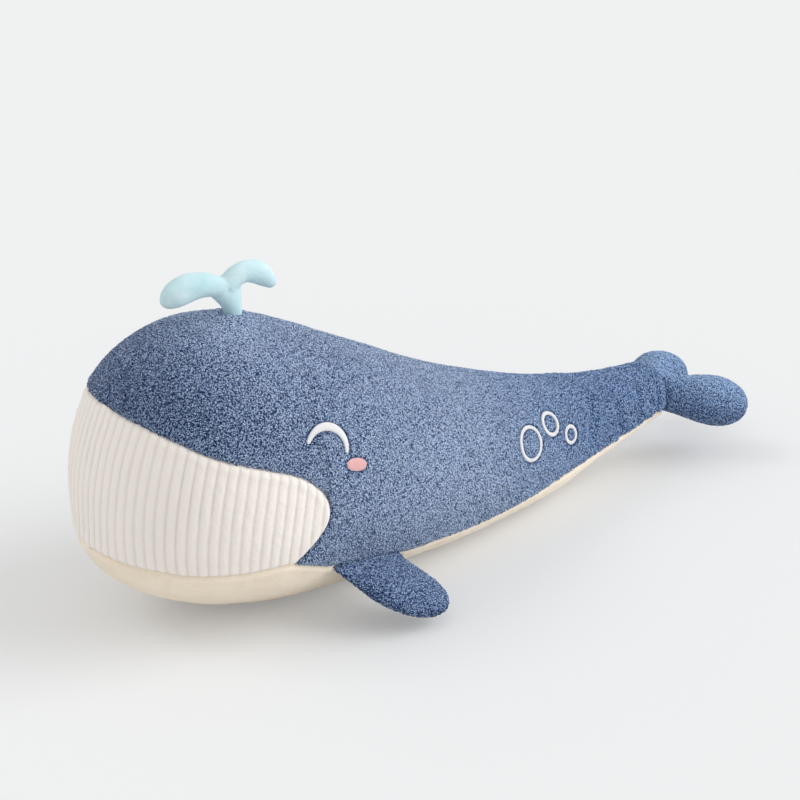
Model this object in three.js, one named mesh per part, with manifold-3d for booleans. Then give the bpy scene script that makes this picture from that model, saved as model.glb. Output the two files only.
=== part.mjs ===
// A stuffed plush whale: fleece back, ribbed throat, smooth belly, two fins, two tail flukes,
// a small water spout on the head and embroidered eyes, cheeks and bubbles.
// Millimetres. X runs from the snout to the tail, Z is up, and the whale's left side faces -Y.
import * as THREE from 'three';
import { mergeVertices } from 'three/addons/utils/BufferGeometryUtils.js';
import Module from 'manifold-3d';

const wasm = await Module();
wasm.setup();

// Cloth and clearances
const fleeceThickness = 5;
const limbFleeceThickness = 3;
const spoutClothThickness = 1.6;
const seamGap = 0.3;
const restingCut = 0.5;
const cutOverrun = 40;

// Body: its profile is set at stations from the snout to the end of the tail stem
const bodyLength = 765;
const bodyHeight = 313;
const bodyWidth = 288;
const snoutHeight = 120;
const snoutRounding = 235;
const tailEndRounding = 5;
const tailEndExponent = 4;
const snoutExponent = 2.27;
const sectionExponent = 2.2;
const waistShare = 0.46;
const stationShares = [0, 0.15, 0.3, 0.45, 0.6, 0.75, 0.88, 1];
const topShares = [1.175, 1.065, 0.947, 0.763, 0.585, 0.46, 0.394, 0.372];
const bottomShares = [0.03, 0.015, 0, 0, 0, 0.018, 0.09, 0.155];
const widthShares = [1.09, 1.05, 0.99, 0.9, 0.73, 0.508, 0.33, 0.226];

// Seams in side view, as shares of the body's length and height
const throatSeamShares = [
  [-0.03, 0.857], [0.04, 0.808], [0.115, 0.71], [0.18, 0.65], [0.225, 0.597], [0.254, 0.525],
  [0.262, 0.455], [0.251, 0.39], [0.212, 0.29],
];
const bellySeamShares = [
  [-0.03, 0.345], [0, 0.332], [0.03, 0.319], [0.08, 0.297], [0.14, 0.288], [0.212, 0.29],
  [0.276, 0.225], [0.34, 0.187], [0.45, 0.155], [0.59, 0.136], [0.74, 0.157], [0.9, 0.185],
  [1.04, 0.235],
];

// Fins, sewn into the seam between back and belly
const finRootX = 259;
const finRootAngle = -30;
const finRootTilt = 9;
const finRootHalfLength = 46;
const finRootRounding = 6;
const finReach = 81;
const finWidestAt = 35;
const finWidestHalf = 45;
const finHalfThickness = 12;
const finDroop = 25;
const finSweep = 23;

// Tail flukes, sewn to the end of the tail stem
const flukeRootHeight = 79;
const flukeRootHalfWidth = 17;
const flukeRootRounding = 15;
const flukeRootSeat = 0.75;
const flukeReach = 98;
const flukeWidestAt = 55;
const flukeWidestHalf = 36;
const flukeHalfThickness = 29;
const flukeSplay = 36;
const flukeDroop = 11;

// Spout: a stem that parts into a fore and an aft drop
const spoutX = 180;
const spoutRootRounding = 9;
const spoutFootHalfWidth = 10;
const spoutForkHalfWidth = 14;
const spoutForkRise = 26;
const spoutForkLean = 10;
const foreDrop = { reach: -72, crest: 22, fall: 2, radius: 15 };
const aftDrop = { reach: 60, crest: 31, fall: 10, radius: 12 };
const dropRootRadius = 8.5;
const dropWidestShare = 0.66;
const spoutFlatnessShare = 0.78;

// Embroidery
const stitchRise = 1.6;
const eyeX = 203;
const eyeHeight = 207;
const eyeRadius = 25;
const eyeArcFrom = -22;
const eyeArcTo = 148;
const eyeHalfStroke = 4;
const cheekX = 237;
const cheekHeight = 183;
const cheekHalfLength = 14;
const cheekHalfHeight = 7;
const cheekTilt = -18;
const bubbleHalfStroke = 2.4;
const bubbles = [
  { name: 'bubble_large', x: 508, height: 112, radius: 19 },
  { name: 'bubble_medium', x: 551, height: 118, radius: 13 },
  { name: 'bubble_small', x: 582, height: 96, radius: 9.5 },
];

// Counts of steps along and around the forms
const bodySteps = { snout: 9, flank: 12, tail: 3, around: 27 };
const limbSteps = { root: 3, swell: 3, tip: 3, around: 14 };
const dropSteps = { along: 7, around: 10 };
const stitchSteps = { eye: 12, cheek: 8, bubble: 20, around: 6 };
const seamSteps = { throat: 18, belly: 24 };

// Cloth
const cloth = (color, roughness) => new THREE.MeshStandardMaterial({ color, roughness, metalness: 0 });
const blueFleece = cloth(0x6a84ad, 0.95);
const ribbedPlush = cloth(0xe9e3dc, 0.9);
const creamPlush = cloth(0xece0cc, 0.9);
const mintVelvet = cloth(0xbfe5ea, 0.8);
const whiteThread = cloth(0xf3f3f1, 0.5);
const pinkThread = cloth(0xee9f98, 0.5);
const fibreFilling = cloth(0xfbfaf6, 1);

const up = new THREE.Vector3(0, 0, 1);
const toRadians = THREE.MathUtils.degToRad;

// Closed solid through a row of rings; a ring of one point closes an end
function loft(rings) {
  const starts = [];
  const positions = [];
  for (const ring of rings) {
    starts.push(positions.length / 3);
    for (const point of ring) positions.push(point.x, point.y, point.z);
  }
  const indices = [];
  for (let k = 1; k < rings.length; k++) {
    const count = Math.max(rings[k - 1].length, rings[k].length);
    const at = (ring, i) => starts[ring] + (rings[ring].length > 1 ? i % count : 0);
    for (let i = 0; i < count; i++) {
      const [a, b, c, d] = [at(k - 1, i), at(k - 1, i + 1), at(k, i + 1), at(k, i)];
      if (a !== b) indices.push(a, b, c);
      if (c !== d) indices.push(a, c, d);
    }
  }
  return closedSolid(positions, indices);
}

// Tube whose last ring joins its first
function loop(rings) {
  const around = rings[0].length;
  const positions = rings.flat().flatMap((point) => point.toArray());
  const indices = [];
  for (let k = 0; k < rings.length; k++) {
    const next = (k + 1) % rings.length;
    for (let i = 0; i < around; i++) {
      const j = (i + 1) % around;
      const [a, b, c, d] = [k * around + i, k * around + j, next * around + j, next * around + i];
      indices.push(a, b, c, a, c, d);
    }
  }
  return closedSolid(positions, indices);
}

// Solid with its faces turned outwards
function closedSolid(positions, indices) {
  let volume = 0;
  const corner = (i) => new THREE.Vector3().fromArray(positions, 3 * indices[i]);
  for (let i = 0; i < indices.length; i += 3) {
    volume += corner(i).dot(corner(i + 1).cross(corner(i + 2)));
  }
  if (volume < 0) indices.reverse();
  return new wasm.Manifold(new wasm.Mesh({
    numProp: 3,
    vertProperties: new Float32Array(positions),
    triVerts: new Uint32Array(indices),
  }));
}

function solidFrom(geometry) {
  geometry.deleteAttribute('normal');
  geometry.deleteAttribute('uv');
  const merged = mergeVertices(geometry);
  return closedSolid([...merged.attributes.position.array], [...merged.index.array]);
}

function block(low, high) {
  const size = new THREE.Vector3().subVectors(high, low);
  const geometry = new THREE.BoxGeometry(size.x, size.y, size.z);
  geometry.translate(...new THREE.Vector3().addVectors(low, high).divideScalar(2).toArray());
  return solidFrom(geometry);
}

// Prism across the whole body over an outline drawn in side view
function sidePrism(outline) {
  const depth = bodyWidth + 2 * cutOverrun;
  const geometry = new THREE.ExtrudeGeometry(new THREE.Shape(outline), { depth, bevelEnabled: false });
  geometry.translate(0, 0, -depth / 2);
  geometry.rotateX(Math.PI / 2);
  return solidFrom(geometry);
}

function namedMesh(name, solid, material) {
  const { numProp, vertProperties, triVerts } = solid.getMesh();
  const geometry = new THREE.BufferGeometry();
  geometry.setAttribute('position', new THREE.BufferAttribute(vertProperties, numProp));
  geometry.setIndex(new THREE.BufferAttribute(triVerts, 1));
  geometry.computeVertexNormals();
  const mesh = new THREE.Mesh(geometry, material);
  mesh.name = name;
  return mesh;
}

// Half size drawn in by an inset, which eases off to nothing where the form closes
const drawnIn = (half, inset) => (half > 0 ? half * half / (half + inset) : 0);

const signedPower = (value, power) => Math.sign(value) * Math.abs(value) ** power;

// Body section at x: the waist's height, its half width and its rise and drop from the waist
const profile = new THREE.CubicInterpolant(
  stationShares,
  stationShares.flatMap((_, i) => [topShares[i], bottomShares[i], widthShares[i]]),
  3,
);

function bodySection(x) {
  const [topShare, bottomShare, widthShare] = profile.evaluate(x / bodyLength);
  const fromSnout = Math.min(Math.max(x / snoutRounding, 0), 1);
  const snout = (1 - (1 - fromSnout) ** snoutExponent) ** (1 / snoutExponent);
  const intoTailEnd = Math.max(x - bodyLength + tailEndRounding, 0) / tailEndRounding;
  const tailEnd = Math.max(1 - intoTailEnd ** tailEndExponent, 0) ** (1 / tailEndExponent);
  const top = snoutHeight + snout * (topShare * bodyHeight - snoutHeight);
  const bottom = snoutHeight + snout * (bottomShare * bodyHeight - snoutHeight);
  const waist = bottom + (top - bottom) * waistShare;
  return {
    waist,
    rise: (top - waist) * tailEnd,
    drop: (waist - bottom) * tailEnd,
    half: widthShare * bodyWidth / 2 * snout * tailEnd,
  };
}

function bodyStations() {
  const { snout, flank, tail } = bodySteps;
  const flankEnd = bodyLength - tailEndRounding;
  const xs = [];
  for (let i = 0; i < snout; i++) xs.push(snoutRounding * (1 - Math.cos(i / snout * Math.PI / 2)));
  for (let i = 0; i < flank; i++) xs.push(snoutRounding + (flankEnd - snoutRounding) * i / flank);
  for (let i = 0; i <= tail; i++) xs.push(flankEnd + tailEndRounding * Math.sin(i / tail * Math.PI / 2));
  return xs;
}

function sectionPoint(x, angle, side, inset = 0) {
  const { waist, rise, drop, half } = bodySection(x);
  const out = signedPower(Math.cos(angle), 2 / sectionExponent);
  const lift = signedPower(Math.sin(angle), 2 / sectionExponent);
  return new THREE.Vector3(
    inset + x * (1 - 2 * inset / bodyLength),
    side * drawnIn(half, inset) * out,
    waist + drawnIn(lift > 0 ? rise : drop, inset) * lift,
  );
}

function bodyForm(inset) {
  const { around } = bodySteps;
  const rings = bodyStations().map((x) => {
    if (bodySection(x).half === 0) return [sectionPoint(x, 0, 1, inset)];
    return Array.from({ length: around }, (_, i) => {
      return sectionPoint(x, Math.PI / 2 + i / around * 2 * Math.PI, 1, inset);
    });
  });
  return loft(rings);
}

// Height of the faceted form's ridge, which runs straight from station to station
function ridgeHeight(x) {
  const xs = bodyStations();
  const next = xs.findIndex((station) => station > x);
  const [fore, aft] = [xs[next - 1], xs[next]].map((station) => sectionPoint(station, Math.PI / 2, 1));
  return THREE.MathUtils.lerp(fore.z, aft.z, (x - fore.x) / (aft.x - fore.x));
}

// How far out a point is from the body's axis, 1 being on its surface
function bodyReach({ x, y, z }) {
  const { waist, rise, drop, half } = bodySection(x);
  const out = Math.abs(y / half);
  const lift = Math.abs((z - waist) / (z > waist ? rise : drop));
  return (out ** sectionExponent + lift ** sectionExponent) ** (1 / sectionExponent);
}

function onBody(point) {
  const { waist } = bodySection(point.x);
  const reach = bodyReach(point);
  return new THREE.Vector3(point.x, point.y / reach, waist + (point.z - waist) / reach);
}

function flankPoint(x, height, side) {
  const { waist, rise, drop, half } = bodySection(x);
  const lift = (height - waist) / (height > waist ? rise : drop);
  const y = half * (1 - Math.abs(lift) ** sectionExponent) ** (1 / sectionExponent);
  return new THREE.Vector3(x, side * y, height);
}

function bodyNormal(point) {
  const step = bodyLength / 1000;
  const slope = (axis) => {
    const ahead = point.clone().addScaledVector(axis, step);
    const behind = point.clone().addScaledVector(axis, -step);
    return bodyReach(ahead) - bodyReach(behind);
  };
  const [alongX, alongY] = [new THREE.Vector3(1, 0, 0), new THREE.Vector3(0, 1, 0)];
  return new THREE.Vector3(slope(alongX), slope(alongY), slope(up)).normalize();
}

// Panels of the body, parted along the seams by a narrow gap
function sideCurve(shares, steps) {
  const points = shares.map(([x, z]) => new THREE.Vector2(x * bodyLength, z * bodyHeight));
  return new THREE.SplineCurve(points).getPoints(steps);
}

function seamRibbon(line) {
  const edge = (side) => line.map((point, i) => {
    const ahead = line[Math.min(i + 1, line.length - 1)];
    const behind = line[Math.max(i - 1, 0)];
    const along = ahead.clone().sub(behind).normalize();
    const offset = side * seamGap / 2;
    return new THREE.Vector2(point.x - along.y * offset, point.y + along.x * offset);
  });
  return sidePrism([...edge(1), ...edge(-1).reverse()]);
}

function bodyPanels() {
  const throatSeam = sideCurve(throatSeamShares, seamSteps.throat);
  const bellySeam = sideCurve(bellySeamShares, seamSteps.belly);
  const wedgeTip = throatSeam.at(-1);
  const underThroat = bellySeam.filter((point) => point.x < wedgeTip.x).reverse();
  const floorEnds = [
    new THREE.Vector2(bellySeam.at(-1).x, -cutOverrun),
    new THREE.Vector2(bellySeam[0].x, -cutOverrun),
  ];
  const throatPrism = sidePrism([...throatSeam, ...underThroat]);
  const bellyPrism = sidePrism([...bellySeam, ...floorEnds]);
  const seams = seamRibbon(throatSeam).add(seamRibbon(bellySeam));
  const farEnd = bodyLength + cutOverrun;
  const farSide = bodyWidth / 2 + cutOverrun;
  const farTop = bodyHeight + cutOverrun;
  const halfSpace = (side) => block(
    new THREE.Vector3(-cutOverrun, side > 0 ? -farSide : -seamGap / 2, -cutOverrun),
    new THREE.Vector3(farEnd, side > 0 ? seamGap / 2 : farSide, farTop),
  );
  const underFloor = block(
    new THREE.Vector3(-cutOverrun, -farSide, -cutOverrun),
    new THREE.Vector3(farEnd, farSide, restingCut),
  );
  const skin = bodyForm(0).subtract(bodyForm(fleeceThickness)).subtract(seams);
  const back = skin.subtract(throatPrism).subtract(bellyPrism);
  return [
    namedMesh('back_left', back.subtract(halfSpace(-1)), blueFleece),
    namedMesh('back_right', back.subtract(halfSpace(1)), blueFleece),
    namedMesh('throat', skin.intersect(throatPrism).subtract(bellyPrism), ribbedPlush),
    namedMesh('belly', skin.intersect(bellyPrism).subtract(underFloor), creamPlush),
    namedMesh('body_filling', bodyForm(fleeceThickness + seamGap), fibreFilling),
  ];
}

// Oval ring about a centre, in the plane of two directions
function ovalRing(centre, across, halfAcross, over, halfOver, around) {
  return Array.from({ length: around }, (_, i) => {
    const angle = i / around * 2 * Math.PI;
    return centre.clone()
      .addScaledVector(across, halfAcross * Math.cos(angle))
      .addScaledVector(over, halfOver * Math.sin(angle));
  });
}

function middleOf(ring) {
  const sum = new THREE.Vector3();
  for (const point of ring) sum.add(point);
  return sum.divideScalar(ring.length);
}

// Stuffed paddle: round about its hinge line, swelling to its widest place, closing round at its tip.
// Its half sizes at a distance from the hinge, with the sideways shift of its middle.
function paddleSizes(paddle, distance) {
  const { rounding, rootHalf, widestAt, widestHalf, halfThickness, reach, sweep } = paddle;
  const shift = distance > 0 ? distance * Math.tan(toRadians(sweep)) : 0;
  if (distance < 0) {
    const round = Math.sqrt(Math.max(1 - (distance / rounding) ** 2, 0));
    return { shift, half: rootHalf * round, thick: rounding * round };
  }
  if (distance < widestAt) {
    const swell = (1 - Math.cos(distance / widestAt * Math.PI)) / 2;
    return {
      shift,
      half: rootHalf + (widestHalf - rootHalf) * swell,
      thick: rounding + (halfThickness - rounding) * swell,
    };
  }
  const round = Math.sqrt(Math.max(1 - ((distance - widestAt) / (reach - widestAt)) ** 2, 0));
  return { shift, half: widestHalf * round, thick: halfThickness * round };
}

function paddleDistances({ rounding, widestAt, reach }) {
  const { root, swell, tip } = limbSteps;
  const distances = [];
  for (let i = 0; i < root; i++) distances.push(-rounding * Math.cos(i / root * Math.PI / 2));
  for (let i = 0; i < swell; i++) distances.push(widestAt * i / swell);
  for (let i = 0; i <= tip; i++) {
    distances.push(widestAt + (reach - widestAt) * Math.sin(i / tip * Math.PI / 2));
  }
  return distances;
}

function paddleForm(paddle, inset) {
  const { hinge, out, across, over, rounding, reach } = paddle;
  const distances = paddleDistances(paddle);
  const rings = distances.map((distance, i) => {
    const { shift, half, thick } = paddleSizes(paddle, distance);
    const drawnOut = distance + inset * (1 - 2 * (distance + rounding) / (reach + rounding));
    const centre = hinge.clone().addScaledVector(out, drawnOut).addScaledVector(across, shift);
    if (i === 0 || i === distances.length - 1) return [centre];
    return ovalRing(centre, across, drawnIn(half, inset), over, drawnIn(thick, inset), limbSteps.around);
  });
  return loft(rings);
}

// Upper and lower cloth of a paddle, parted along its edge, and its filling
function paddleMeshes(name, paddle) {
  const { hinge, out, across, over, reach, widestHalf } = paddle;
  const size = reach + widestHalf + cutOverrun;
  const turn = new THREE.Matrix4().makeBasis(out, across, over).setPosition(hinge);
  const cutter = (low, high) => {
    const geometry = new THREE.BoxGeometry(2 * size, 2 * size, high - low);
    geometry.translate(0, 0, (low + high) / 2);
    return solidFrom(geometry.applyMatrix4(turn));
  };
  const skin = paddleForm(paddle, 0).subtract(paddleForm(paddle, limbFleeceThickness));
  return [
    namedMesh(`${name}_upper`, skin.subtract(cutter(-size, seamGap / 2)), blueFleece),
    namedMesh(`${name}_lower`, skin.subtract(cutter(-seamGap / 2, size)), blueFleece),
    namedMesh(`${name}_filling`, paddleForm(paddle, limbFleeceThickness + seamGap), fibreFilling),
  ];
}

function upwardNormal(out, across) {
  const normal = new THREE.Vector3().crossVectors(out, across);
  return normal.z < 0 ? normal.negate() : normal;
}

function finPaddle(side) {
  const root = sectionPoint(finRootX, toRadians(finRootAngle), side);
  const normal = bodyNormal(root);
  const rootDrop = finRootHalfLength * Math.tan(toRadians(finRootTilt));
  const fore = flankPoint(finRootX - finRootHalfLength, root.z + rootDrop, side);
  const aft = flankPoint(finRootX + finRootHalfLength, root.z - rootDrop, side);
  const across = aft.sub(fore).normalize();
  const droop = toRadians(finDroop);
  const hang = new THREE.Vector3(0, side * Math.cos(droop), -Math.sin(droop));
  const out = hang.addScaledVector(across, -hang.dot(across)).normalize();
  return {
    hinge: root.addScaledVector(normal, finRootRounding + seamGap),
    out,
    across,
    over: upwardNormal(out, across),
    rounding: finRootRounding,
    rootHalf: finRootHalfLength,
    widestAt: finWidestAt,
    widestHalf: finWidestHalf,
    halfThickness: finHalfThickness,
    reach: finReach,
    sweep: finSweep,
  };
}

function flukePaddle(side) {
  const splay = toRadians(flukeSplay);
  const droop = toRadians(flukeDroop);
  const aft = new THREE.Vector3(Math.cos(splay), side * Math.sin(splay), 0);
  const across = new THREE.Vector3(Math.sin(splay), -side * Math.cos(splay), 0);
  const out = aft.clone().multiplyScalar(Math.cos(droop)).addScaledVector(up, -Math.sin(droop));
  const rootLengthX = Math.hypot(flukeRootRounding * aft.x, flukeRootHalfWidth * across.x);
  const rootLengthY = Math.hypot(flukeRootRounding * aft.y, flukeRootHalfWidth * across.y);
  return {
    hinge: new THREE.Vector3(
      bodyLength + seamGap + rootLengthX - flukeRootSeat,
      side * (seamGap / 2 + rootLengthY),
      flukeRootHeight,
    ),
    out,
    across,
    over: upwardNormal(out, across),
    rounding: flukeRootRounding,
    rootHalf: flukeRootHalfWidth,
    widestAt: flukeWidestAt,
    widestHalf: flukeWidestHalf,
    halfThickness: flukeHalfThickness,
    reach: flukeReach,
    sweep: 0,
  };
}

// Spout: its stem stands on the crown and its two drops arch away fore and aft
function spoutDrop(root, { reach, crest, fall, radius }, inset) {
  const top = root.clone().add(new THREE.Vector3(reach / 2, 0, crest));
  const tip = root.clone().add(new THREE.Vector3(reach, 0, -fall));
  const path = new THREE.QuadraticBezierCurve3(root, top, tip);
  const length = path.getLength();
  const { along, around } = dropSteps;
  const rings = Array.from({ length: along + 1 }, (_, i) => {
    const share = Math.sin(i / along * Math.PI / 2);
    const drawnShare = share + inset / length * (1 - 2 * share);
    const centre = path.getPointAt(drawnShare);
    if (i === along) return [centre];
    const tangent = path.getTangentAt(drawnShare);
    const over = new THREE.Vector3(-tangent.z, 0, tangent.x);
    const swell = Math.sin(Math.min(share / dropWidestShare, 1) * Math.PI / 2) ** 2;
    const close = Math.max(share - dropWidestShare, 0) / (1 - dropWidestShare);
    const full = dropRootRadius + (radius - dropRootRadius) * swell;
    const half = drawnIn(full * Math.sqrt(1 - close ** 2), inset);
    const flatness = 1 + (spoutFlatnessShare - 1) * swell;
    return ovalRing(centre, new THREE.Vector3(0, 1, 0), half * flatness, over, half, around);
  });
  return loft([[middleOf(rings[0])], ...rings]);
}

function spoutForm(hinge, inset) {
  const { root, swell } = limbSteps;
  const alongX = new THREE.Vector3(1, 0, 0);
  const alongY = new THREE.Vector3(0, 1, 0);
  const rounding = spoutRootRounding;
  const rises = [];
  for (let i = 0; i < root; i++) rises.push(-rounding * Math.cos(i / root * Math.PI / 2));
  for (let i = 0; i < swell; i++) rises.push(spoutForkRise * i / swell);
  for (let i = 0; i <= root; i++) rises.push(spoutForkRise + rounding * Math.sin(i / root * Math.PI / 2));
  const stem = loft(rises.map((rise, i) => {
    const past = rise < 0 ? -rise : Math.max(rise - spoutForkRise, 0);
    const round = Math.sqrt(Math.max(1 - (past / rounding) ** 2, 0));
    const share = (rise + rounding) / (spoutForkRise + 2 * rounding);
    const climb = THREE.MathUtils.clamp(rise / spoutForkRise, 0, 1);
    const centre = hinge.clone()
      .addScaledVector(up, rise + inset * (1 - 2 * share))
      .addScaledVector(alongX, -spoutForkLean * climb);
    if (i === 0 || i === rises.length - 1) return [centre];
    const halfWidth = THREE.MathUtils.lerp(spoutFootHalfWidth, spoutForkHalfWidth, climb);
    const halfX = drawnIn(halfWidth * round, inset);
    const halfY = drawnIn(rounding * round, inset);
    return ovalRing(centre, alongX, halfX, alongY, halfY, dropSteps.around);
  }));
  const fork = hinge.clone()
    .addScaledVector(up, spoutForkRise)
    .addScaledVector(alongX, -spoutForkLean);
  return stem.add(spoutDrop(fork, foreDrop, inset)).add(spoutDrop(fork, aftDrop, inset));
}

function spoutMeshes() {
  const hinge = new THREE.Vector3(spoutX, 0, ridgeHeight(spoutX) + seamGap + spoutRootRounding);
  const reach = aftDrop.reach - foreDrop.reach + cutOverrun;
  const halfSpace = (side) => block(
    hinge.clone().add(new THREE.Vector3(-reach, side > 0 ? -reach : -seamGap / 2, -reach)),
    hinge.clone().add(new THREE.Vector3(reach, side > 0 ? seamGap / 2 : reach, reach)),
  );
  const skin = spoutForm(hinge, 0).subtract(spoutForm(hinge, spoutClothThickness));
  return [
    namedMesh('spout_left', skin.subtract(halfSpace(-1)), mintVelvet),
    namedMesh('spout_right', skin.subtract(halfSpace(1)), mintVelvet),
    namedMesh('spout_filling', spoutForm(hinge, spoutClothThickness + seamGap), fibreFilling),
  ];
}

// Embroidery: a low band of satin stitch that lies on the body's surface
function stitchPoint(centre, side, angle, radius) {
  const normal = bodyNormal(centre);
  const aft = up.clone().cross(normal).multiplyScalar(-side).normalize();
  const over = upwardNormal(normal, aft);
  return onBody(centre.clone()
    .addScaledVector(aft, radius * Math.cos(angle))
    .addScaledVector(over, radius * Math.sin(angle)));
}

function stitchRing(point, ahead, behind, halfStroke) {
  const normal = bodyNormal(point);
  const tangent = ahead.clone().sub(behind).normalize();
  const across = new THREE.Vector3().crossVectors(normal, tangent).normalize();
  return ovalRing(point, across, halfStroke, normal, stitchRise, stitchSteps.around);
}

function stitchedBand(points, halfStrokes) {
  const last = points.length - 1;
  return loft(points.map((point, i) => {
    const ahead = points[Math.min(i + 1, last)];
    const behind = points[Math.max(i - 1, 0)];
    const ring = stitchRing(point, ahead, behind, Math.max(halfStrokes[i], stitchRise));
    return i > 0 && i < last ? ring : [middleOf(ring)];
  }));
}

const stitchedGround = bodyForm(-seamGap);

function eyeMesh(name, side) {
  const centre = flankPoint(eyeX, eyeHeight, side);
  const shares = Array.from({ length: stitchSteps.eye + 1 }, (_, i) => i / stitchSteps.eye);
  const points = shares.map((share) => {
    const angle = toRadians(eyeArcFrom + (eyeArcTo - eyeArcFrom) * share);
    return stitchPoint(centre, side, angle, eyeRadius);
  });
  const halfStrokes = shares.map((share) => eyeHalfStroke * Math.sqrt(Math.sin(share * Math.PI)));
  return namedMesh(name, stitchedBand(points, halfStrokes).subtract(stitchedGround), whiteThread);
}

function cheekMesh(name, side) {
  const centre = flankPoint(cheekX, cheekHeight, side);
  const shares = Array.from({ length: stitchSteps.cheek + 1 }, (_, i) => i / stitchSteps.cheek);
  const points = shares.map((share) => {
    const reach = -cheekHalfLength * Math.cos(share * Math.PI);
    return stitchPoint(centre, side, toRadians(cheekTilt), reach);
  });
  const halfStrokes = shares.map((share) => cheekHalfHeight * Math.sin(share * Math.PI));
  return namedMesh(name, stitchedBand(points, halfStrokes).subtract(stitchedGround), pinkThread);
}

function bubbleMesh({ name, x, height, radius }) {
  const centre = flankPoint(x, height, -1);
  const count = stitchSteps.bubble;
  const at = (i) => stitchPoint(centre, -1, i / count * 2 * Math.PI, radius);
  const rings = Array.from({ length: count }, (_, i) => {
    return stitchRing(at(i), at(i + 1), at(i - 1), bubbleHalfStroke);
  });
  return namedMesh(name, loop(rings).subtract(stitchedGround), whiteThread);
}

// The whale, standing on its belly with its origin under the middle of its bounding box
const whale = new THREE.Group();
whale.add(...bodyPanels(), ...spoutMeshes());
for (const [word, side] of [['left', -1], ['right', 1]]) {
  whale.add(...paddleMeshes(`fin_${word}`, finPaddle(side)));
  whale.add(...paddleMeshes(`fluke_${word}`, flukePaddle(side)));
  whale.add(eyeMesh(`eye_${word}`, side), cheekMesh(`cheek_${word}`, side));
}
whale.add(...bubbles.map(bubbleMesh));

const box = new THREE.Box3().setFromObject(whale);
const middle = box.getCenter(new THREE.Vector3());
whale.position.set(-middle.x, -middle.y, -box.min.z);

export default whale;
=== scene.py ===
from math import cos, pi, radians, sin, tan

import bpy
import numpy as np
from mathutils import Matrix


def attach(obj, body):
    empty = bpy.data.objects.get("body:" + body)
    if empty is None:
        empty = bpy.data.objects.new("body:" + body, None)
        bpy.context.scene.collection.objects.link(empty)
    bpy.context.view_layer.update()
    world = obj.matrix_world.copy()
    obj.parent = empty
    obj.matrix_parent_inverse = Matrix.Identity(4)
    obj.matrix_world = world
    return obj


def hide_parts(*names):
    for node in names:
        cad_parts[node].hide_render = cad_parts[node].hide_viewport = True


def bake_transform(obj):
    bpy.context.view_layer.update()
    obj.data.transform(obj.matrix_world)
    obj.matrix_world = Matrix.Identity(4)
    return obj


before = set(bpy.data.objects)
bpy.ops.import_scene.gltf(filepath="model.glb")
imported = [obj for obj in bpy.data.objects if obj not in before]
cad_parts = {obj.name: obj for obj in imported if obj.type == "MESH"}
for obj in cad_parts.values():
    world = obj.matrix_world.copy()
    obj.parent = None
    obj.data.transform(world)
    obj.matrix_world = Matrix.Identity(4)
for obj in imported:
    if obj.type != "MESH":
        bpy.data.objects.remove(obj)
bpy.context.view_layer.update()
print("frame loaded:", len(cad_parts), "nodes")

# All shapes are worked out in the sewing pattern's own millimetres: X from the snout to the
# tail, Z up, the whale's left side at -Y. patternShift moves them to the frame's origin.
patternShift = np.array([-432.05, 0.0, -0.5])
halfSeamGap = 0.15              # half of the clearance between sewn pieces
restingHeight = 0.9             # lowest place of any cloth over the floor
sides = (("Left", -1), ("Right", 1))


def toFrame(points):
    return (np.asarray(points) + patternShift) / 1000


def stacked(*parts):
    return np.stack(np.broadcast_arrays(*parts), -1).astype(float)


def unit(vectors):
    return vectors / (np.linalg.norm(vectors, axis=-1, keepdims=True) + 1e-12)


def upward(vector):
    return vector * np.sign(vector[2])


def bell(distance, width):
    return np.exp(-(distance / width) ** 2)


def addObject(name, data):
    thing = bpy.data.objects.new(name, data)
    bpy.context.scene.collection.objects.link(thing)
    return thing


class Graph:
    # A node tree, and short ways to add nodes to it
    def __init__(self, owner):
        owner.use_nodes = True
        self.nodes, self.links = owner.node_tree.nodes, owner.node_tree.links

    def feed(self, node, inputs):
        # Each input gets a plain value or a link
        for key, value in inputs.items():
            if isinstance(value, bpy.types.NodeSocket):
                self.links.new(value, node.inputs[key])
            else:
                node.inputs[key].default_value = value

    def add(self, kind, inputs, **settings):
        node = self.nodes.new("ShaderNode" + kind)
        for key, value in settings.items():
            setattr(node, key, value)
        self.feed(node, inputs)
        return node.outputs

    def math(self, operation, a, b):
        return self.add("Math", {0: a, 1: b}, operation=operation)[0]

    def seenShare(self):
        # 1 for rays straight from the camera or by way of a mirror or glass, else 0
        path = self.add("LightPath", {})
        total = self.math("MAXIMUM", path["Is Camera Ray"], path["Is Glossy Ray"])
        return self.math("MAXIMUM", total, path["Is Transmission Ray"])

    def field(self, name, output="Fac"):
        return self.add("Attribute", {}, attribute_name=name)[output]

    def noise(self, place, scale, detail, bend, output="Fac"):
        inputs = {"Vector": place, "Scale": scale, "Detail": detail, "Distortion": bend}
        return self.add("TexNoise", inputs)[output]

    def knots(self, place, scale, warpScale, warp):
        # Distance from the nearest of many scattered points, with the place warped by noise
        bend = self.noise(place, warpScale, 1.0, 0.0, "Color")
        warped = self.add("VectorMath", {0: bend, 1: (warp,) * 3, 2: place}, operation="MULTIPLY_ADD")
        return self.add("TexVoronoi", {"Vector": warped[0], "Scale": scale})["Distance"]

    def weighted(self, sources, weights, total=0.0):
        for key, weight in weights.items():
            total = self.math("ADD", self.math("MULTIPLY", sources[key], weight), total)
        return total

    def ramp(self, value, stops):
        colour = self.add("ValToRGB", {"Fac": value})["Color"]
        elements = colour.node.color_ramp.elements
        while len(elements) < len(stops):
            elements.new(0.5)
        for element, (at, levels) in zip(elements, stops):
            element.position, element.color = at, linear(levels)
        return colour


# Camera, light and floor

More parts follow.
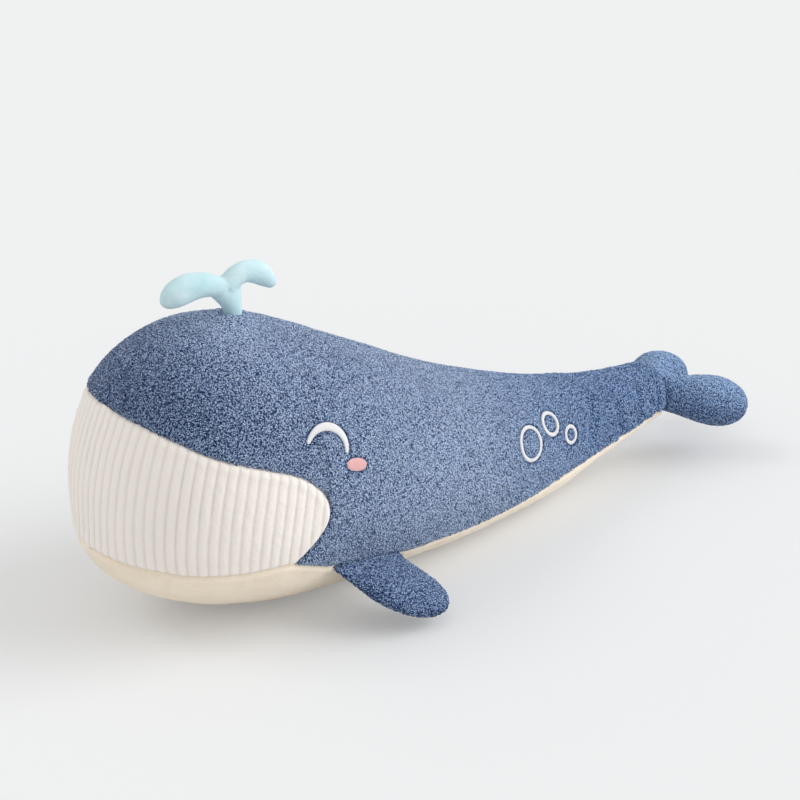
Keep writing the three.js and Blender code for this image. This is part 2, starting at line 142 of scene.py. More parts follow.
stageLook = dict(
    azimuth=-36, elevation=24, distance=2300, target=(390.05, 0, 165.0), lens=94.05, sensor=36,
    floorColour=(0.8, 0.8, 0.8), floorSeen=(0.596, 0.611, 0.625), floorLift=0.2, floorHalf=9.0,
    worldLight=0.74, worldTint=(1.0, 0.98, 0.955), backdrop=0.88,
    # Name, power, spread and direction of each sun
    suns=(("keySun", 1.9, 45, (0.75, -0.45, 0.48)), ("topSun", 0.4, 25, (-0.5, 0.4, 0.75))),
)


def makeStage(look):
    scene = bpy.context.scene
    scene.view_settings.view_transform = "Standard"
    az, el = radians(look["azimuth"]), radians(look["elevation"])
    back = np.array([sin(az) * cos(el), -cos(az) * cos(el), sin(el)])
    scene.camera = camera = addObject("camera", bpy.data.cameras.new("camera"))
    camera.data.lens, camera.data.sensor_width = look["lens"], look["sensor"]
    camera.location = toFrame(np.array(look["target"]) + look["distance"] * back)
    camera.rotation_euler = (pi / 2 - el, 0, az)

    for name, power, spread, (x, y, z) in look["suns"]:
        sun = addObject(name, bpy.data.lights.new(name, "SUN"))
        sun.data.energy, sun.data.angle = power, radians(spread)
        sun.rotation_euler = (np.arctan2(np.hypot(x, y), z), 0, np.arctan2(x, -y))

    scene.world = bpy.data.worlds.new("studio")
    graph = Graph(scene.world)
    graph.nodes.clear()
    lit = graph.add("Background", {"Color": (*look["worldTint"], 1), "Strength": look["worldLight"]})
    seen = graph.add("Background", {"Color": (look["backdrop"],) * 3 + (1,)})
    mix = graph.add("MixShader", {0: graph.seenShare(), 1: lit[0], 2: seen[0]})
    graph.add("OutputWorld", {"Surface": mix[0]})

    half = look["floorHalf"]
    corners = [(-half, -half, 0), (half, -half, 0), (half, half, 0), (-half, half, 0)]
    mesh = bpy.data.meshes.new("floor")
    mesh.from_pydata(corners, [], [(0, 1, 2, 3)])
    paint = bpy.data.materials.new("floorPaint")
    graph = Graph(paint)
    seen = graph.seenShare()
    colour = graph.add("Mix", {0: seen, 6: (*look["floorColour"], 1), 7: (*look["floorSeen"], 1)},
                       data_type="RGBA")
    graph.feed(graph.nodes["Principled BSDF"], {
        "Roughness": 1, "Specular IOR Level": 0, "Base Color": colour[2],
        "Emission Color": (1, 1, 1, 1),
        "Emission Strength": graph.math("MULTIPLY", seen, look["floorLift"]),
    })
    mesh.materials.append(paint)
    addObject("floor", mesh)


makeStage(stageLook)
print("stage made")


# The body's form

bodyForm = dict(
    length=765, height=313, width=288, snoutHeight=120, snoutRounding=235, snoutExponent=2.27,
    tailRounding=9, tailExponent=2.6, sectionExponent=2.2, waistShare=0.46,
    stations=(0, 0.15, 0.3, 0.45, 0.6, 0.75, 0.88, 1),
    tops=(1.175, 1.065, 0.947, 0.763, 0.585, 0.46, 0.394, 0.372),
    bottoms=(0.03, 0.015, 0, 0, 0, 0.018, 0.09, 0.155),
    widths=(1.09, 1.05, 0.99, 0.9, 0.73, 0.508, 0.33, 0.226),
    denseSteps=1500, endSteps=300, normalStep=0.5,
)
seamShares = dict(
    throat=((-0.03, 0.857), (0.04, 0.808), (0.115, 0.71), (0.18, 0.65), (0.225, 0.597),
            (0.254, 0.525), (0.262, 0.455), (0.251, 0.39), (0.212, 0.29)),
    belly=((-0.03, 0.345), (0, 0.332), (0.03, 0.319), (0.08, 0.297), (0.14, 0.288),
           (0.212, 0.29), (0.276, 0.225), (0.34, 0.187), (0.45, 0.155), (0.59, 0.136),
           (0.74, 0.157), (0.9, 0.185), (1.04, 0.235)),
)


def through(at, values, x):
    # Cubic through the values. Its slope at each is that of the chord between its neighbours,
    # and it runs out straight at both ends.
    at, values = np.asarray(at, float), np.asarray(values, float)
    chords = np.diff(values) / np.diff(at)
    slopes = np.empty_like(values)
    slopes[1:-1] = (values[2:] - values[:-2]) / (at[2:] - at[:-2])
    slopes[0] = 1.5 * chords[0] - slopes[1] / 2
    slopes[-1] = 1.5 * chords[-1] - slopes[-2] / 2
    i = np.clip(np.searchsorted(at, x, side="right") - 1, 0, len(at) - 2)
    gap = at[i + 1] - at[i]
    t = np.clip((x - at[i]) / gap, 0, 1)
    return ((1 + 2 * t) * (1 - t) ** 2 * values[i] + t * (1 - t) ** 2 * gap * slopes[i]
            + t * t * (3 - 2 * t) * values[i + 1] + t * t * (t - 1) * gap * slopes[i + 1])


def bodySection(x):
    # Waist height, half width, rise and drop at x. Top, bottom and width follow the cubic,
    # times a rounded snout (1 - (1 - x/r)^p)^(1/p) and a rounded tail end (1 - u^q)^(1/q).
    f = bodyForm
    x = np.asarray(x, float)
    share = x / f["length"]
    top, bottom, width = (through(f["stations"], f[k], share) for k in ("tops", "bottoms", "widths"))
    p, q = f["snoutExponent"], f["tailExponent"]
    snout = (1 - (1 - np.clip(x / f["snoutRounding"], 0, 1)) ** p) ** (1 / p)
    into = np.clip((x - f["length"] + f["tailRounding"]) / f["tailRounding"], 0, 1)
    end = np.maximum(1 - into ** q, 0) ** (1 / q)
    top = f["snoutHeight"] + snout * (top * f["height"] - f["snoutHeight"])
    bottom = f["snoutHeight"] + snout * (bottom * f["height"] - f["snoutHeight"])
    waist = bottom + (top - bottom) * f["waistShare"]
    half = width * f["width"] / 2 * snout * end
    return waist, half, (top - waist) * end, (waist - bottom) * end


def bent(value):
    # Sign kept, size raised to 2/n, which makes a circle the section's superellipse
    return np.sign(value) * np.abs(value) ** (2 / bodyForm["sectionExponent"])


def bodyPoint(x, angle, side):
    # Point of the section at x: out from the waist by cos and up or down by sin of the angle
    waist, half, rise, drop = bodySection(x)
    lift = bent(np.sin(angle))
    z = waist + np.where(lift > 0, rise, drop) * lift
    return stacked(x, side * half * bent(np.cos(angle)), z)


def bodyReach(points):
    # How far out a point is from the body's axis, 1 being on its surface
    x, y, z = np.moveaxis(points, -1, 0)
    waist, half, rise, drop = bodySection(x)
    n = bodyForm["sectionExponent"]
    out = np.abs(y) / np.maximum(half, 1e-6)
    lift = np.abs(z - waist) / np.maximum(np.where(z > waist, rise, drop), 1e-6)
    return (out ** n + lift ** n) ** (1 / n)


def flankLift(x, height):
    # Half width at x, and how high the height is there, from -1 to 1
    waist, half, rise, drop = bodySection(x)
    return half, np.clip((height - waist) / np.where(height > waist, rise, drop), -1, 1)


def flankPoint(x, height, side):
    n = bodyForm["sectionExponent"]
    half, lift = flankLift(x, height)
    return stacked(x, side * half * (1 - np.abs(lift) ** n) ** (1 / n), height)


def flankAngle(x, height):
    lift = flankLift(x, height)[1]
    return np.arcsin(np.sign(lift) * np.abs(lift) ** (bodyForm["sectionExponent"] / 2))


def bodyNormal(points):
    # Slope of bodyReach, measured over a short step
    steps = bodyForm["normalStep"] * np.eye(3)
    return unit(np.stack([bodyReach(points + step) - bodyReach(points - step) for step in steps], -1))


def onBody(points):
    # Drawn in or out from the axis to the surface
    x, y, z = np.moveaxis(points, -1, 0)
    waist, reach = bodySection(x)[0], bodyReach(points)
    return stacked(x, y / reach, waist + (z - waist) / reach)


def seamLine(name, count=1600):
    # Uniform Catmull-Rom curve through the seam's points, in side view
    p = np.array(seamShares[name]) * (bodyForm["length"], bodyForm["height"])
    p = np.vstack([p[:1], p, p[-1:]])
    at = np.linspace(0, len(p) - 3, count)
    i = np.minimum(at.astype(int), len(p) - 4)
    t = (at - i)[:, None]
    before, here, there, after = (p[i + k] for k in range(4))
    m0, m1 = (there - before) / 2, (after - here) / 2
    return ((2 * here - 2 * there + m0 + m1) * t ** 3
            + (3 * there - 3 * here - 2 * m0 - m1) * t ** 2 + m0 * t + here)


def denseStations(start, stop):
    # Close stations, closer still where the ends round off
    f = bodyForm
    r, q = f["tailRounding"], f["tailExponent"]
    snout = f["snoutRounding"] * (1 - np.cos(np.linspace(0, pi / 2, f["denseSteps"])))
    flank = np.linspace(f["snoutRounding"], f["length"] - r, f["denseSteps"])
    end = f["length"] - r + r * (1 - np.linspace(1, 0, f["endSteps"]) ** q) ** (1 / q)
    xs = np.unique(np.hstack([snout, flank, end, start, stop]))
    return xs[(xs >= start) & (xs <= stop)]


def arcAlong(points):
    return np.hstack([0, np.cumsum(np.linalg.norm(np.diff(points, axis=0), axis=1))])


def evenAlong(values, points, count):
    # The values at even steps of arc along the points
    arc = arcAlong(points)
    return np.interp(np.linspace(0, arc[-1], count + 1), arc, values)


def evenStations(start, stop, count, angle):
    # Stations at even steps of arc along the body's line at that angle
    xs = denseStations(start, stop)
    return evenAlong(xs, bodyPoint(xs, angle, 1), count)


def seamAngles(branch, x):
    # Section angles at which the seam crosses those stations
    return flankAngle(x, seamHeight(branch, x))[:, None]


def resampled(line, at, places):
    # The line's coordinates at those places of its own measure
    return np.stack([np.interp(at, places, line[:, k]) for k in range(3)], -1)


def seamHeight(branch, x):
    return np.interp(x, branch[:, 0], branch[:, 1])


def crossing(branch, angle):
    # Where the body's line at that angle crosses the seam
    xs = denseStations(0, bodyForm["snoutRounding"])
    gap = bodyPoint(xs, angle, 1)[:, 2] - seamHeight(branch, xs)
    i = np.flatnonzero(np.diff(np.sign(gap)))[0]
    return float(xs[i] + (xs[i + 1] - xs[i]) * gap[i] / (gap[i] - gap[i + 1]))


throatLine, bellyLine = seamLine("throat"), seamLine("belly")
tipAt = int(np.argmax(throatLine[:, 0]))
upperBranch, returnBranch = throatLine[:tipAt + 1], throatLine[tipAt:][::-1]
crownX = crossing(upperBranch, pi / 2)          # the throat's seam on the ridge
chinX = crossing(bellyLine, -pi / 2)            # the belly's seam at the front
tipX, hornX = float(upperBranch[-1, 0]), float(returnBranch[0, 0])
seamLook = dict(step=3, reach=20.0, tailStop=4)     # spacing, how far seams act, end


def seamPath(branch, start, stop, side):
    # The seam as points on the flank
    run = branch[(branch[:, 0] >= start) & (branch[:, 0] <= stop)]
    points = flankPoint(*run.T, side)
    places = np.arange(len(run), dtype=float)
    count = max(int(arcAlong(points)[-1] / seamLook["step"]), 4)
    return resampled(points, evenAlong(places, points, count), places)


def throatSeams(side):
    return [seamPath(upperBranch, crownX, tipX, side), seamPath(returnBranch, hornX, tipX, side)]


def bellySeam(start, side):
    return seamPath(bellyLine, start, bodyForm["length"] - seamLook["tailStop"], side)


# Cloth: random tables, soft lumps and curls

tableSize = 64
softTable = np.random.default_rng(7).random((tableSize,) * 3)
curlTable = np.random.default_rng(11).random((tableSize,) * 3 + (7,))
stuffing = ((1.1, 74, 0.0), (0.6, 37, 5.3))     # unevenness of the filling: depth, size, shift
clumps = ((0.15, 9.0, 0.0), (0.09, 4.2, 0.0))   # strands that lie together
strandForm = dict(bend=1.1, widths=(0.25, 0.62, 0.75), rest=0.55)   # across, along, up


def softNoise(points, size, shift):
    # Random values on a lattice of that size, eased between its corners, from -1 to 1
    at = points / size + shift
    cell = np.floor(at).astype(int)
    t = at - cell
    t = t * t * (3 - 2 * t)
    total = 0
    for corner in np.ndindex(2, 2, 2):
        i, j, k = ((cell + corner) % tableSize).T
        weight = np.prod(np.where(corner, t, 1 - t), axis=1)
        total = total + weight * softTable[i, j, k]
    return 2 * total - 1


def lumps(points, layers, seed=0.0):
    # Sum of soft noises, each with its depth, size and shift
    return sum(depth * softNoise(points, size, shift + seed) for depth, size, shift in layers)


def curls(points, normals, size, shift):
    # The tallest strand at each point. Each cell of a lattice holds one short bent strand,
    # whose height falls off as a bell across it and along it.
    form = strandForm
    at = points + shift
    cell = np.floor(at / size).astype(int)
    tallest = np.zeros(len(points))
    for corner in np.ndindex(3, 3, 3):
        near = cell + corner - 1
        i, j, k = (near % tableSize).T
        drawn = curlTable[i, j, k]
        gap = at - (near + drawn[:, :3]) * size
        lie = drawn[:, 3:6] - 0.5
        lie = unit(lie - normals * (lie * normals).sum(1, keepdims=True))
        parts = [(gap * way).sum(1) for way in (np.cross(normals, lie), lie, normals)]
        parts[0] += (drawn[:, 6] - 0.5) * form["bend"] * parts[1] ** 2 / size
        reach = sum((part / (width * size)) ** 2 for part, width in zip(parts, form["widths"]))
        tallest = np.maximum(tallest, np.exp(-reach))
    return tallest


def nearestOn(points, line, reach):
    # Distance from each point to a bent line, cut off at reach, and the direction towards it.
    # Each few steps of the line are tried on the points in their box alone.
    found, towards = np.full(len(points), float(reach)), np.zeros((len(points), 3))
    few = 8
    for start in range(0, len(line) - 1, few):
        part = line[start:start + few + 1]
        low, high = part.min(0) - reach, part.max(0) + reach
        near = np.flatnonzero(((points > low) & (points < high)).all(1))
        if len(near) == 0:
            continue
        steps = np.diff(part, axis=0)
        offset = part[:-1] - points[near][:, None]
        share = np.clip(-(offset * steps).sum(-1) / (steps ** 2).sum(-1), 0, 1)
        offset = offset + share[..., None] * steps
        gap = np.linalg.norm(offset, axis=-1)
        best = (np.arange(len(near)), gap.argmin(1))
        gap, offset = gap[best], offset[best]
        closer = gap < found[near]
        found[near[closer]] = gap[closer]
        towards[near[closer]] = offset[closer] / (gap[closer, None] + 1e-6)
    return found, towards


def distanceTo(points, line, reach):
    return nearestOn(points, line, reach)[0]


def nearestSeam(points, seams):
    # The same for the nearest of several lines
    gap, towards = np.full(len(points), seamLook["reach"]), np.zeros((len(points), 3))
    for seam in seams:
        found, direction = nearestOn(points, seam, seamLook["reach"])
        closer = found < gap
        gap[closer], towards[closer] = found[closer], direction[closer]
    return gap, towards


def sewn(gap, seam):
    # Height near a seam: drawn in at it as one bell, and puffed up beside it as another
    return (seam["puff"] * bell(gap - seam["puffAt"], seam["puffWidth"])
            - seam["roll"] * bell(gap, seam["width"]))


# Meshes from grids

def cleanFaces(quads):
    # Quads that lost an edge at a pole become triangles, and those that lost more are dropped
    same = quads == np.roll(quads, -1, axis=1)
    worn = same.sum(1) == 1
    return [quads[~same.any(1)], quads[worn][~same[worn]].reshape(-1, 3)]


def weld(grids):
    # One list of points for all grids, where each came from, and each grid's index into it
    points = np.vstack([g.reshape(-1, 3) for g in grids])
    _, first, ids = np.unique(np.round(points, 4), axis=0, return_index=True, return_inverse=True)
    cuts = np.cumsum([g[..., 0].size for g in grids])[:-1]
    ids = np.split(ids.reshape(-1), cuts)
    return points[first], first, [i.reshape(g.shape[:2]) for i, g in zip(ids, grids)]


def gridQuads(ids):
    return np.stack([ids[:-1, :-1], ids[1:, :-1], ids[1:, 1:], ids[:-1, 1:]], -1).reshape(-1, 4)


def crossedDiagonals(points, quads):
    a, b, c, d = (points[quads[:, k]] for k in range(4))
    return np.cross(c - a, d - b)


def vertexNormals(points, quads):
    # Sum of the crossed diagonals of the quads round each point, brought to length 1
    face = crossedDiagonals(points, quads)
    total = np.stack([
        np.bincount(quads.ravel(), np.repeat(face[:, k], 4), len(points)) for k in range(3)
    ], -1)
    return unit(total)


def closedForm(grid):
    # Points, normals and faces of a grid that closes on itself, turned outwards by the sign of
    # the volume inside, and where in the grid each point was
    points, first, ids = weld([grid])
    quads = gridQuads(ids[0])
    normals = vertexNormals(points, quads)
    if (points[quads].mean(1) * crossedDiagonals(points, quads)).sum() < 0:
        quads, normals = quads[:, ::-1], -normals
    return points, normals, cleanFaces(quads), first


class Cloth:
    # A panel of cloth over one or more grids that meet: its outer points, their normals, and
    # what closes it behind, a lining on every strideth point and a rim between the two
    stride = 8

    def __init__(self, grids):
        self.base, self.first, ids = weld(grids)
        quads = np.vstack([gridQuads(i) for i in ids])
        sparse = np.vstack([gridQuads(i[::self.stride, ::self.stride]) for i in ids])
        self.normals = vertexNormals(self.base, quads)
        if (bodyNormal(self.base) * self.normals).sum() < 0:
            quads, sparse, self.normals = quads[:, ::-1], sparse[:, ::-1], -self.normals
        self.faces, self.sparse = cleanFaces(quads), cleanFaces(sparse)
        self.partner = np.arange(len(self.base))
        for i in ids:
            near = [(np.arange(n) + self.stride // 2) // self.stride * self.stride for n in i.shape]
            self.partner[i.ravel()] = i[np.ix_(*near)].ravel()

    def closed(self, outer, backing):
        # Points and faces of the whole cloth, with its lining set in from the base
        count = len(outer)
        kept = np.unique(np.hstack([part.ravel() for part in self.sparse]))
        inner = np.full(count, -1)
        inner[kept] = count + np.arange(len(kept))
        edges = np.vstack([
            np.stack([part, np.roll(part, -1, axis=1)], -1).reshape(-1, 2) for part in self.faces
        ])
        a, b = edges[~np.isin(edges @ (count, 1), edges @ (1, count))].T    # on one face only
        rim = np.stack([b, a, inner[self.partner[a]], inner[self.partner[b]]], -1)
        faces = self.faces + [inner[part[:, ::-1]] for part in self.sparse] + cleanFaces(rim)
        return np.vstack([outer, (self.base - self.normals * backing)[kept]]), faces


def makePiece(name, points, faces, slot, nodes, body="torso", bend=None, fill=None, **attributes):
    # Mesh object in the frame. Attributes that a lining has no values for are 0 there. A piece
    # with no bend is attached to its body; one with a bend has its place baked in, and the bend's
    # ends are not used.
    mesh = bpy.data.meshes.new(name)
    placed = toFrame(points)
    mesh.from_pydata(placed, [], [face for part in faces for face in part.tolist()])
    mesh.update()
    mesh.polygons.foreach_set("use_smooth", np.ones(len(mesh.polygons), bool))
    for key, value in attributes.items():
        value = np.pad(value, (0, len(points) - len(value))).astype(np.float32)
        mesh.attributes.new(key, "FLOAT", "POINT").data.foreach_set("value", value)
    rest = mesh.attributes.new("restPlace", "FLOAT_VECTOR", "POINT")
    rest.data.foreach_set("vector", placed.astype(np.float32).ravel())
    mesh.materials.append(cloths[slot])
    piece = addObject(name, mesh)
    if bend is None:
        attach(piece, body)
    else:
        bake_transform(piece)
    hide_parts(*nodes)


# Cloth finishes: noises (scale, detail, bend), knots (scale, the warp's scale and size), what
# they and the mesh's attributes add to the colour's level and to the bump, and the ramp's stops

clothLook = dict(roughness=0.95, sheen=0.2, sheenTint=(1, 1, 1, 1), sheenRoughness=0.5, gloss=0.15,
                 fields=(), knots={}, shift=0.0, bump=dict(nap=1.0), bumpDepth=0.0)
fleeceLook = dict(
    clothLook, roughness=1.0, sheen=0.3, sheenTint=(0.77, 0.86, 1.0, 1), sheenRoughness=0.35,
    fields=("pile",), knots=dict(knot=(560, 504, 0.0016)),
    noises=dict(curl=(800, 1.0, 0.8), fibre=(1100, 1.0, 0.0), patch=(22, 2.0, 0.0)),
    level=dict(pile=0.33, knot=-1.5, curl=2.3, fibre=1.45, patch=0.1), shift=-0.787,
    stops=((0.1, (31, 52, 93)), (0.47, (127, 153, 196)), (0.9, (200, 219, 246))),
    # Painted shade: the colour is multiplied darker and bluer towards the tail
    paintedTailShade=(0.77, 0.9, 1.02, 1), bump=dict(knot=-1.0, curl=0.8), bumpDepth=0.0016,
)
ribLook = dict(
    clothLook, fields=("rib",), noises=dict(nap=(700, 3.0, 0.5), patch=(60, 2.0, 0.0)),
    # The rib field paints the grooves between ribs darker than their tops: painted shade
    level=dict(rib=0.72, nap=0.35, patch=0.22), shift=-0.15,
    stops=((0.1, (222, 213, 206)), (0.75, (241, 236, 231))), bumpDepth=0.0005,
)
bellyLook = dict(
    clothLook, noises=dict(nap=(520, 3.0, 0.8), patch=(45, 2.0, 0.4)),
    level=dict(nap=0.6, patch=0.5), shift=-0.05,
    stops=((0.25, (234, 219, 198)), (0.75, (248, 239, 224))), bumpDepth=0.0006,
)
spoutLook = dict(
    clothLook, roughness=0.8, sheen=0.45, sheenTint=(0.9, 1.0, 1.0, 1), sheenRoughness=0.35,
    noises=dict(nap=(900, 2.0, 0.3), patch=(40, 2.0, 0.5)), level=dict(nap=0.35, patch=0.65),
    stops=((0.3, (178, 214, 222)), (0.7, (208, 232, 238))), bumpDepth=0.0003,
)
whiteLook = dict(
    clothLook, roughness=0.45, sheen=0.1, fields=("thread",), noises=dict(fleck=(900, 2.0, 0.0)),
    # The thread field paints the gaps between threads darker: painted shade
    level=dict(thread=0.7, fleck=0.35), stops=((0.1, (203, 204, 209)), (0.8, (238, 238, 240))),
)
pinkLook = dict(whiteLook, stops=((0.1, (216, 150, 150)), (0.8, (234, 194, 193))))


def linear(levels):
    # Colour levels of 0 to 255 as the linear values that the shader takes
    shares = np.array(levels) / 255
    return tuple(np.where(shares > 0.04045, ((shares + 0.055) / 1.055) ** 2.4, shares / 12.92)) + (1.0,)


def makeFinish(name, look):
    # Colour = ramp at the sum of the sources times their weights, times the painted tail shade as
    # far as the mesh's tint says. The bump's height is another such sum.
    material = bpy.data.materials.new(name)
    graph = Graph(material)
    place = graph.field("restPlace", "Vector")
    sources = {key: graph.field(key) for key in look["fields"]}
    sources |= {key: graph.noise(place, *values) for key, values in look["noises"].items()}
    sources |= {key: graph.knots(place, *values) for key, values in look["knots"].items()}
    colour = graph.ramp(graph.weighted(sources, look["level"], look["shift"]), look["stops"])
    if "paintedTailShade" in look:
        colour = graph.add("Mix", {0: graph.field("tint"), 6: colour, 7: look["paintedTailShade"]},
                           data_type="RGBA", blend_type="MULTIPLY")[2]
    shader = graph.nodes["Principled BSDF"]
    graph.feed(shader, {
        "Base Color": colour, "Roughness": look["roughness"], "Specular IOR Level": look["gloss"],
        "Sheen Weight": look["sheen"], "Sheen Tint": look["sheenTint"],
        "Sheen Roughness": look["sheenRoughness"],
    })
    if look["bumpDepth"] > 0:
        bump = graph.add("Bump", {"Height": graph.weighted(sources, look["bump"]),
                                  "Distance": look["bumpDepth"], "Strength": 1.0})
        graph.feed(shader, {"Normal": bump["Normal"]})
    return material


cloths = dict(
    blue_fleece=makeFinish("blueFleece", fleeceLook), ribbed_plush=makeFinish("ribbedPlush", ribLook),
    cream_plush=makeFinish("creamPlush", bellyLook), mint_velvet=makeFinish("mintVelvet", spoutLook),
    white_thread=makeFinish("whiteThread", whiteLook), pink_thread=makeFinish("pinkThread", pinkLook),
)
print("finishes made")


# Embroidery lines, which the fleece is pressed down along

stitchLook = dict(
    eyeAt=(203, 207), eyeRadius=25, eyeArc=(-22, 148), eyeHalfStroke=4.5, eyeEndStroke=2.0,
    cheekAt=(237, 183), cheekHalf=(14.0, 7.2), cheekTilt=-18,
    bubbles=(("Large", 508, 112, 19), ("Medium", 551, 118, 13), ("Small", 582, 96, 9.5)),
    bubbleHalfStroke=2.4, endShare=0.03, least=0.05,
    rise=2.0, shoulder=1.4, roundness=0.7, under=1.1, sunk=1.2, ground=0.3,
    threadPitch=0.75, perThread=6, around=20, humpRise=0.14, humpWidth=0.04,
    pressReach=6, pressStart=0.1, pressWidth=1.4, shadeWidth=2.2, eyeCut=3, cheekCut=2,
)


def stitchedLine(x, height, side, offsets):
    # Offsets in the tangent plane, aft by their real parts and up by the others, on the body
    centre = flankPoint(x, height, side)
    normal = bodyNormal(centre)
    aft = unit(np.cross([0, 0, 1], normal) * -side)
    over = upward(np.cross(normal, aft))
    return onBody(centre + offsets.real[:, None] * aft + offsets.imag[:, None] * over)


def eyeLine(side, count):
    angles = np.radians(np.linspace(*stitchLook["eyeArc"], count))
    return stitchedLine(*stitchLook["eyeAt"], side, stitchLook["eyeRadius"] * np.exp(1j * angles))


def cheekLine(side, count):
    reach = np.linspace(-1, 1, count) * stitchLook["cheekHalf"][0]
    tilt = radians(stitchLook["cheekTilt"])
    return stitchedLine(*stitchLook["cheekAt"], side, reach * np.exp(1j * tilt))


def bubbleLine(x, height, radius, count):
    return stitchedLine(x, height, -1, radius * np.exp(2j * pi * np.linspace(0, 1, count)))


def pressedUnder(points, side):
    # How far the embroidery holds the pile down, 1 under it and easing to 0 just outside, and
    # how much painted shade it puts on the pile beside it, which falls off as a wider bell. The
    # painted shade leaves out some of the line's points at either end, where a stroke tapers.
    look = stitchLook
    lines = [(eyeLine(side, count=33), look["eyeHalfStroke"], look["eyeCut"]),
             (cheekLine(side, count=9), look["cheekHalf"][1], look["cheekCut"])]
    if side < 0:
        lines += [(bubbleLine(*ring, count=41), look["bubbleHalfStroke"], 0)
                  for _, *ring in look["bubbles"]]
    held, shade = np.zeros(len(points)), np.zeros(len(points))
    for line, half, cut in lines:
        past, pastCut = (
            distanceTo(points, part, half + look["pressReach"]) - half
            for part in (line, line[cut:len(line) - cut])
        )
        ease = np.clip((past - look["pressStart"]) / look["pressWidth"], 0, 1) ** 2
        held = np.maximum(held, 1 - ease)
        shade = np.maximum(shade, bell(np.maximum(pastCut, 0), look["shadeWidth"]))
    return held, shade


# Spout's form, round which the back's fleece is heaped

spoutForm = dict(
    hinge=(180, 0, 319.16), foot=16, rounding=9, footHalf=9.5, forkHalf=20, forkRise=26, lean=10,
    widening=1.3, foreDrop=dict(reach=-72, crest=22, fall=2, radius=15.5),
    aftDrop=dict(reach=60, crest=31, fall=10, radius=12.5),
    rootRadius=10.5, widestShare=0.66, flatness=0.78, fill=0.7, around=32, dropRings=40, stemRings=29,
    capRings=8, voxel=1.3, soften=0.5, smoothing=14, bendFrom=-2, bendTo=20,
    seamRoll=0.5, seamWidth=0.9, seamTurn=0.5, uneven=((0.35, 11, 3.3), (0.15, 4, 6.1)),
)


# Back: two halves of curly fleece

backLook = dict(
    rows=320, tipRow=56, aftColumns=520, foreColumns=184, hornColumns=40, backing=7.0, fill=0.8,
    pileHeight=2.0, pileSize=2.7, pressed=0.85,
    seam=dict(roll=3.6, width=2.4, puff=0.8, puffAt=7, puffWidth=4),
    overhang=2.6, hangLeast=0.35, hangAt=2.2, hangWidth=1.6,
    ridgeRoll=1.6, ridgeWidth=2.2, ridgeReach=12, ridgeSteps=320, ridgeStop=1,
    rootCrease=4.6, rootWidth=4.5, rootReach=16, rootInset=2, rootSteps=23,
    heap=6, heapAt=13, heapWidth=14,
    # Folds of the tail stem: from, to (x and height), depth and width. Each has a lip beside it.
    creases=(((679, 66), (673, 100), 4.4, 6), ((617, 76), (634, 118), 3.8, 7),
             ((711, 72), (716, 106), 2.8, 5), ((745, 66), (746, 112), 2.0, 4)),
    creaseLip=0.35, creaseLipAt=1.8, creaseReach=3, creaseSteps=9,
    # Painted light and shade in patches, lighter or darker: x, height, reach along and up, change
    paintedLightAndShade=((390, 130, 95, 70, 0.2), (225, 95, 45, 55, -0.25), (90, 270, 60, 50, -0.2),
             (625, 90, 60, 60, -0.2), (212, 255, 90, 45, -0.25), (180, 205, 45, 30, -0.25),
             (168, 316, 40, 12, 0.45)),
    # Painted shade: where the pile is pressed, by seams, beside stitches, where the cloth faces forward
    # and where it turns tightly; the painted tail shade comes in from tintFrom to tintTo
    heldShade=0.25, seamShade=0.5, seamShadeWidth=1.6, stitchShade=1.1,
    foreShade=0.65, foreBend=0.7, tightShade=0.7, tightHalf=50, tintFrom=432, tintTo=642,
)


def backGrids(look, side):
    # Grids over station and section angle: aft from the belly's seam to the ridge, fore from
    # the throat's upper seam to the ridge, and horn from the belly's seam to the throat's
    # return seam. They meet in the section through the throat's tip.
    rows, tip = look["rows"], look["tipRow"]
    lowRows, highRows = np.linspace(0, 1, tip + 1), np.linspace(0, 1, rows - tip + 1)[1:]
    top = pi / 2
    tipLow = flankAngle(tipX, seamHeight(bellyLine, tipX))
    tipMiddle = flankAngle(tipX, upperBranch[-1, 1])
    tipShare = (tipMiddle - tipLow) / (top - tipLow)
    x = evenStations(tipX, bodyForm["length"], look["aftColumns"], top)
    low = seamAngles(bellyLine, x)
    low[-1] = low[-2]
    middle = low + (top - low) * tipShare
    angle = np.hstack([low + (middle - low) * lowRows, middle + (top - middle) * highRows])
    aft = bodyPoint(x[:, None], angle, side)

    x = evenStations(crownX, tipX, look["foreColumns"], top)
    low = seamAngles(upperBranch, x)
    low[0] = top
    fore = bodyPoint(x[:, None], low + (top - low) * np.hstack([0, highRows]), side)
    fore[-1] = aft[0, tip:]

    x = evenStations(hornX, tipX, look["hornColumns"], 0.0)
    low, high = seamAngles(bellyLine, x), seamAngles(returnBranch, x)
    high[0] = low[0]
    horn = bodyPoint(x[:, None], low + (high - low) * lowRows, side)
    horn[-1] = aft[0, :tip + 1]
    return [aft, fore, horn]


def finRootLine(side, inset, count):
    # The line on the flank along which a fin is sewn
    hinge, _, across, _ = finAxes(side)
    half = finLook["rootHalf"] - inset
    return onBody(hinge + np.linspace(-half, half, count)[:, None] * across)


def backShade(look, base, normals, pile, gap, held, stitchShade):
    # How light the pile is: its height, with painted shade where it is pressed down, near a seam and
    # beside a stitch, painted light and shade in listed patches, and painted shade where the cloth
    # faces forward or turns tightly
    shown = pile * (1 - look["heldShade"] * held)
    shown *= 1 - look["seamShade"] * bell(gap, look["seamShadeWidth"])
    shown -= look["stitchShade"] * stitchShade
    # Painted light and shade in patches
    for x, z, reachX, reachZ, change in look["paintedLightAndShade"]:
        shown += change * bell(base[:, 0] - x, reachX) * bell(base[:, 2] - z, reachZ)
    half = bodySection(base[:, 0])[1]
    # Painted shade on forward faces and where the body narrows, as round the tail stem
    shown -= look["foreShade"] * np.clip(-normals[:, 0], 0, 1) ** look["foreBend"]
    return shown - look["tightShade"] * np.exp(-half / look["tightHalf"])


